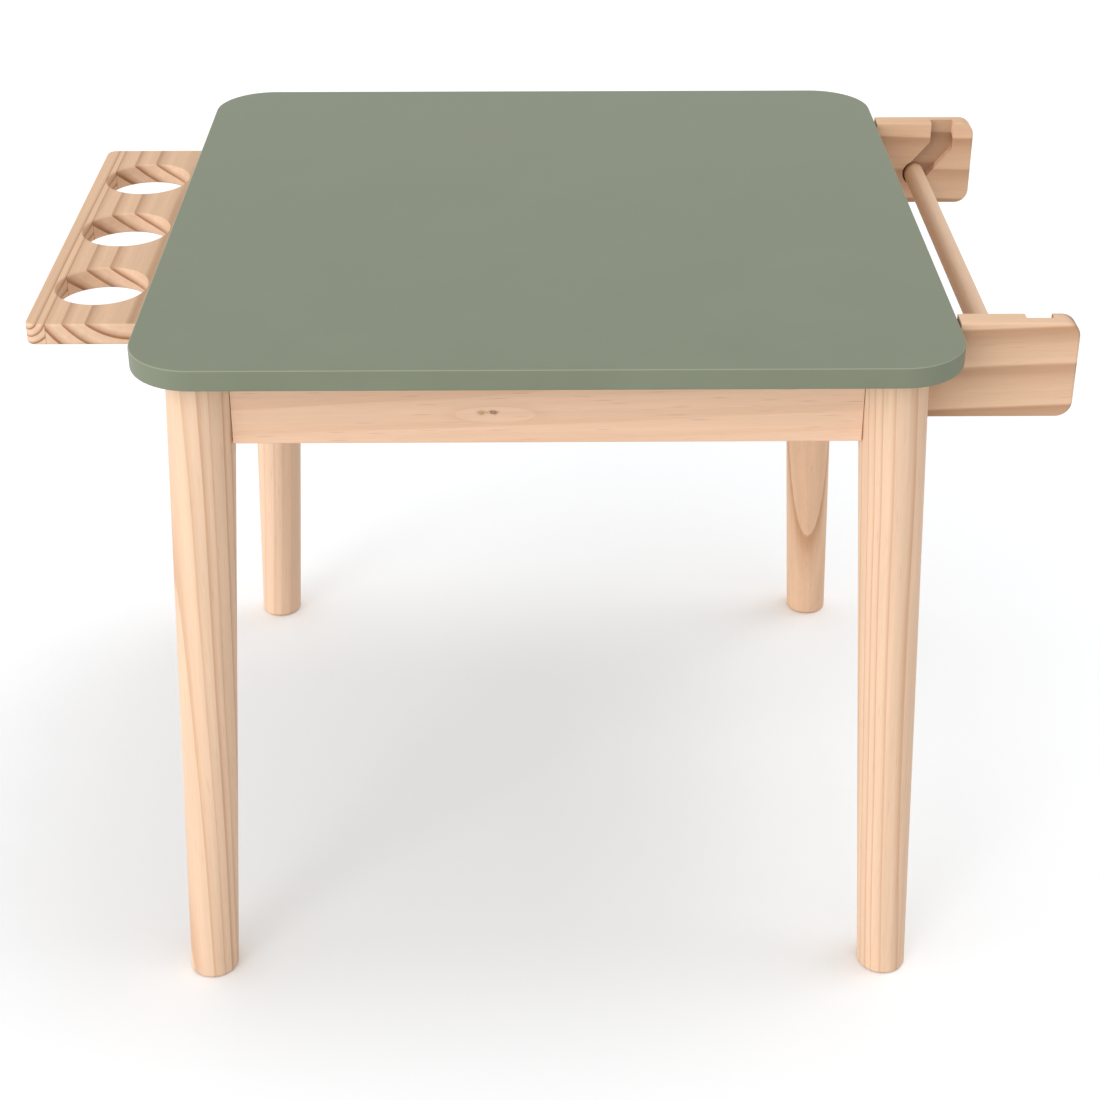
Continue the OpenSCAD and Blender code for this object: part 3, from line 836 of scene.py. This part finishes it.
@dataclass
class ApronFrame:
    """The four aprons and the blocks that tie them to the legs. Lengths in millimetres.

    Attributes:
        block_ring_width: width of a year's ring in the corner blocks.
        lowest_block_pith: height of the first block's pith.
        block_pith_step: how much higher the next block's is.
    """

    block_ring_width: float = 7.0
    lowest_block_pith: float = 440.0
    block_pith_step: float = 30.0

    def build(self) -> None:
        """Dresses the aprons, the front one with its knots, and the corner blocks."""
        front_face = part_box("apron_front")[0].y / MM
        knots = (
            Knot((-39.5, front_face, 503.2), half_length=4.6, half_height=2.2, colour="#6b3d22",
                 depth=0.9, swirl=8.0, swirl_length=60.0, swirl_height=12.0),
            Knot((-47.8, front_face, 502.8), half_length=4.2, half_height=2.6, colour="#9f6b45",
                 depth=0.7),
        )
        boards = {
            "apron_front": PineFinish(
                "pine apron_front", (0.9997, 0.008, 0.02), Trunk((0.0, -190.0, 530.0), 9.0),
                seed=3.0, contrast=0.34, wander=3.0, canals=0.3, knots=knots),
            "apron_rear": PineFinish(
                "pine apron_rear", Grain.ALONG_X.value, Trunk((0.0, 330.0, 470.0), 10.0), seed=17.0),
            "apron_left": PineFinish(
                "pine apron_left", Grain.ALONG_Y.value, Trunk((-320.0, 0.0, 450.0), 9.0), seed=29.0),
            "apron_right": PineFinish(
                "pine apron_right", Grain.ALONG_Y.value, Trunk((330.0, 0.0, 560.0), 10.0), seed=41.0),
        }
        for node, finish in boards.items():
            dress(node, finish.build())
        corners = [(end, side) for end in ("front", "rear") for side in ("left", "right")]
        for i, (end, side) in enumerate(corners):
            dress(f"corner_block_{end}_{side}", self._block_finish(i, end, side).build())

    def _block_finish(self, number: int, end: str, side: str) -> PineFinish:
        """Works out the finish of a corner block, which lies across its corner.

        Args:
            number: which block it is, from 0.
            end: front or rear.
            side: left or right.

        Returns:
            The finish.
        """
        turn = 1.0 if (end == "front") == (side == "left") else -1.0
        grain = Vector((1.0, -turn, 0.0)).normalized()
        pith = (0.0, 0.0, self.lowest_block_pith + self.block_pith_step * number)
        return PineFinish(f"pine block {end} {side}", tuple(grain),
                          Trunk(pith, self.block_ring_width), seed=60.0 + 7 * number)


@dataclass
class CupBoard:
    """The board with three cup holes, of two planks glued side by side. Lengths in millimetres.

    Attributes:
        trunk: where the main plank lay in its trunk.
        seam_x: X of the glued seam.
        strip_trunk: where the plank beyond it lay in its own.
    """

    trunk: Trunk = Trunk((-311.0, -186.0, 577.75), 13.0, 13.1)
    seam_x: float = -374.5
    strip_trunk: Trunk = Trunk((-389.0, -186.0, 544.0), 5.8, 1.8)

    def build(self) -> None:
        """Dresses the board."""
        finish = PineFinish(
            "pine cup_board", (0.006, 1.0, 0.0), self.trunk, seed=71.0, early="#e3bc9a",
            late="#a5724c", sawn_end="#f1ccae", contrast=0.9, late_share=0.27, unevenness=0.0,
            wander=1.5, strip=GluedStrip(self.seam_x, self.strip_trunk))
        dress("cup_board", finish.build())


@dataclass
class RollHolder:
    """The two slotted brackets and the rod that lies in them. Lengths in millimetres.

    Attributes:
        skin: layer under a bracket's two faces that no slot's floor lies in.
        wander: how far the brackets' rings stray from circles.
        rod_pith_for_shade: the pith's place from the rod's middle, set so that one broad band of dark
            late wood lies along the rod's left, lower side as painted shade.
    """

    skin: float = 4.0
    wander: float = 8.0
    rod_pith_for_shade: Triple = (40.0, 0.0, 12.0)

    def build(self) -> None:
        """Dresses brackets and rod."""
        low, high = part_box("roll_rod")
        pith = (low + high) / 2 / MM + Vector(self.rod_pith_for_shade)
        boards = {
            "roll_bracket_front": PineFinish(
                "pine roll_bracket_front", (0.9985, 0.0, 0.04),
                Trunk((360.0, -165.0, 335.0), 30.5, 17.6), seed=83.0, early="#e8c2a1",
                late="#a06c46", contrast=0.85, late_share=0.48, unevenness=0.0,
                wander=self.wander, streak=0.8, slot_shade_span=self._slot_floor("roll_bracket_front")),
            "roll_bracket_rear": PineFinish(
                "pine roll_bracket_rear", (0.9985, 0.0, -0.03),
                Trunk((360.0, 265.0, 330.0), 29.5, 15.2), seed=91.0, early="#e3bb99",
                late="#9c6944", contrast=0.9, late_share=0.46, unevenness=0.0,
                wander=self.wander, streak=0.8, slot_shade_span=self._slot_floor("roll_bracket_rear")),
            # The rod's rings are its figure, but their broad dark late wood along its left, lower side
            # is painted shade
            "roll_rod": PineFinish(
                "pine roll_rod", (0.004, 1.0, 0.002), Trunk(tuple(pith), 27.0), seed=97.0,
                early="#fad6b6", late="#a9774f", contrast=0.9, late_share=0.42, unevenness=0.0,
                wander=1.5),
        }
        for node, finish in boards.items():
            dress(node, finish.build())

    def _slot_floor(self, node: str) -> Pair:
        """Finds the layer inside a bracket that its slot's floor lies in, which is painted darker as
        shade.

        Args:
            node: the bracket's name.

        Returns:
            Its lowest and highest Y.
        """
        low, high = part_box(node)
        return (low.y / MM + self.skin, high.y / MM - self.skin)


@dataclass
class Fasteners:
    """Dowels, screws, bolts, nuts and inserts."""

    steel: MetalFinish = MetalFinish("zinc plated steel", "#c3c6c9", "#a9aaa4", (0.28, 0.42))
    brass: MetalFinish = MetalFinish("turned brass", "#cda75e", "#a98445", (0.22, 0.36))
    beech: BeechFinish = BeechFinish()

    def build(self) -> None:
        """Dresses each kind of fastener."""
        steel = self.steel.build()
        for node in ("block_screws", "top_screws", "cup_board_screws", "hanger_bolts",
                     "hanger_washers", "hanger_nuts", "bracket_bolts"):
            dress(node, steel)
        dress("bracket_inserts", self.brass.build())
        dress("apron_dowels", self.beech.build())


@dataclass(frozen=True)
class PhotoCamera:
    """The photograph's camera.

    Attributes:
        photo_side: width and height of the picture, in pixels.
        focal: distance of the picture behind the lens, in pixels.
        middle: the point that the lens looks at, in pixels.
        dip: angle below the horizon, in radians.
        turn: angle to the right, in radians.
        place: the lens's place, in millimetres.
        sensor_width: width of the sensor that stands for the picture, in millimetres.
        reach: farthest distance that it sees, in metres.
    """

    photo_side: int = 1100
    focal: float = 2157.24
    middle: Pair = (551.17, 449.92)
    dip: float = 0.48999
    turn: float = 0.00922
    place: Triple = (-10.26, -1651.19, 1212.64)
    sensor_width: float = 36.0
    reach: float = 60.0

    def build(self) -> None:
        """Sets the camera up and makes it the scene's."""
        data = bpy.data.cameras.new("photo camera")
        data.sensor_fit = "HORIZONTAL"
        data.sensor_width = self.sensor_width
        data.lens = self.focal * self.sensor_width / self.photo_side
        data.shift_x = -(self.middle[0] - self.photo_side / 2) / self.photo_side
        data.shift_y = (self.middle[1] - self.photo_side / 2) / self.photo_side
        data.clip_end = self.reach
        camera = bpy.data.objects.new("photo camera", data)
        camera.location = Vector(self.place) * MM
        camera.rotation_euler = (math.pi / 2 - self.dip, 0.0, -self.turn)
        bpy.context.scene.collection.objects.link(camera)
        bpy.context.scene.camera = camera


@dataclass(frozen=True)
class Lamp:
    """A broad, far lamp.

    Attributes:
        name: what it is called.
        floor_light: what it does with the floor.
        strength: light that it gives a surface that faces it.
        height: its height above the horizon, in degrees.
        side: its side in degrees from the front, positive to the right.
        width: how broad it looks, in degrees.
    """

    name: str
    floor_light: FloorLight
    strength: float
    height: float
    side: float
    width: float

    def on_floor(self) -> float:
        """Works out the light that the lamp gives the bare floor.

        Returns:
            The light, as the white surroundings count it.
        """
        if self.floor_light is FloorLight.LEFT_OUT:
            return 0.0
        return self.strength * math.sin(math.radians(self.height)) / math.pi


@dataclass
class Studio:
    """White floor and surroundings, with soft light from all round and from three lamps.

    Attributes:
        floor_side: the floor's side, in metres.
        floor_white: brightness of the bare floor where it is looked at.
        floor_tint: its tint, which takes away the warm light that the wood throws on it.
        floor_bounce: share of the surroundings' light that the floor throws back.
        ambient: light from all round.
        lamps: the key, which lights the table, and two windows, which only draw on the
            floor the shade of the top and the streaks of the legs.
    """

    floor_side: float = 24.0
    floor_white: float = 1.12
    floor_tint: Triple = (0.981, 1.0, 1.02)
    floor_bounce: float = 0.9
    ambient: float = 0.78
    lamps: tuple[Lamp, ...] = (
        Lamp("key", FloorLight.LEFT_OUT, strength=1.75, height=24.0, side=-50.0, width=60.0),
        Lamp("low window", FloorLight.ALONE, strength=0.22, height=44.0, side=-34.0, width=20.0),
        Lamp("high window", FloorLight.ALONE, strength=0.36, height=71.0, side=106.0, width=22.0),
    )

    def build(self) -> None:
        """Builds floor, surroundings and lamps."""
        floor = self._floor()
        self._surroundings()
        for lamp in self.lamps:
            self._light(lamp, floor)
        bpy.context.scene.view_settings.view_transform = "Standard"

    def _background_rays(self, sheet: NodeSheet) -> bpy.types.Node:
        """Tells what looks at the background.

        Args:
            sheet: the sheet that this is laid out on.

        Returns:
            A node that gives 1 to the camera, reflections and clear glass, and else 0.
        """
        path = sheet.add("LightPath")
        seen = sheet.add("Math", {0: path.outputs["Is Camera Ray"], 1: path.outputs["Is Glossy Ray"]},
                         operation="MAXIMUM")
        return sheet.add("Math", {0: seen, 1: path.outputs["Is Transmission Ray"]},
                         operation="MAXIMUM")

    def _floor(self) -> bpy.types.Object:
        """Lays the floor.

        Returns:
            The floor, which looks white where nothing shades it.
        """
        mesh = bpy.data.meshes.new("floor")
        shape = bmesh.new()
        bmesh.ops.create_grid(shape, x_segments=1, y_segments=1, size=self.floor_side / 2)
        shape.to_mesh(mesh)
        shape.free()
        floor = bpy.data.objects.new("floor", mesh)
        bpy.context.scene.collection.objects.link(floor)
        material, sheet = new_sheet("white studio floor")
        # Less light than 1 reaches this matt white paper, so where it is looked at it is
        # lifted to white by as much and keeps its shade, and what it throws back stays plain
        reached = self.ambient + sum(lamp.on_floor() for lamp in self.lamps)
        seen = [self.floor_white / reached * part for part in self.floor_tint]
        thrown = self.floor_bounce * self.ambient / reached
        tone = sheet.add("Mix", {0: self._background_rays(sheet), 6: (thrown, thrown, thrown, 1.0),
                                 7: (*seen, 1.0)}, data_type="RGBA")
        matt = sheet.add("BsdfDiffuse", {"Color": tone})
        sheet.add("OutputMaterial", {"Surface": matt})
        mesh.materials.append(material)
        return floor

    def _surroundings(self) -> None:
        """Makes the world white to look at, and a plain soft light to everything else."""
        world = bpy.data.worlds.new("white surroundings")
        world.use_nodes = True
        sheet = NodeSheet(world.node_tree)
        strength = sheet.add("MapRange", {"Value": self._background_rays(sheet),
                                          "To Min": self.ambient, "To Max": 1.0})
        light = sheet.add("Background", {"Color": (1.0, 1.0, 1.0, 1.0), "Strength": strength})
        sheet.add("OutputWorld", {"Surface": light})
        bpy.context.scene.world = world

    def _light(self, lamp: Lamp, floor: bpy.types.Object) -> None:
        """Adds a lamp.

        Args:
            lamp: the lamp.
            floor: the floor, which it lights alone or leaves out.
        """
        data = bpy.data.lights.new(lamp.name, "SUN")
        data.energy = lamp.strength
        data.angle = math.radians(lamp.width)
        light = bpy.data.objects.new(lamp.name, data)
        light.rotation_euler = (math.radians(90 - lamp.height), 0.0, math.radians(lamp.side))
        bpy.context.scene.collection.objects.link(light)
        linked = bpy.data.collections.new(f"linked to {lamp.name}")
        linked.objects.link(floor)
        linked.collection_objects[0].light_linking.link_state = lamp.floor_light.value
        light.light_linking.receiver_collection = linked


def main() -> None:
    """Builds camera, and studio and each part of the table."""
    logging.basicConfig(level=logging.INFO, format="%(name)s: %(message)s")
    PhotoCamera().build()
    Studio().build()
    for group in (Tabletop(), LegSet(), ApronFrame(), CupBoard(), RollHolder(), Fasteners()):
        group.build()
        log.info("built %s", type(group).__name__)


if __name__ == "__main__":
    main()
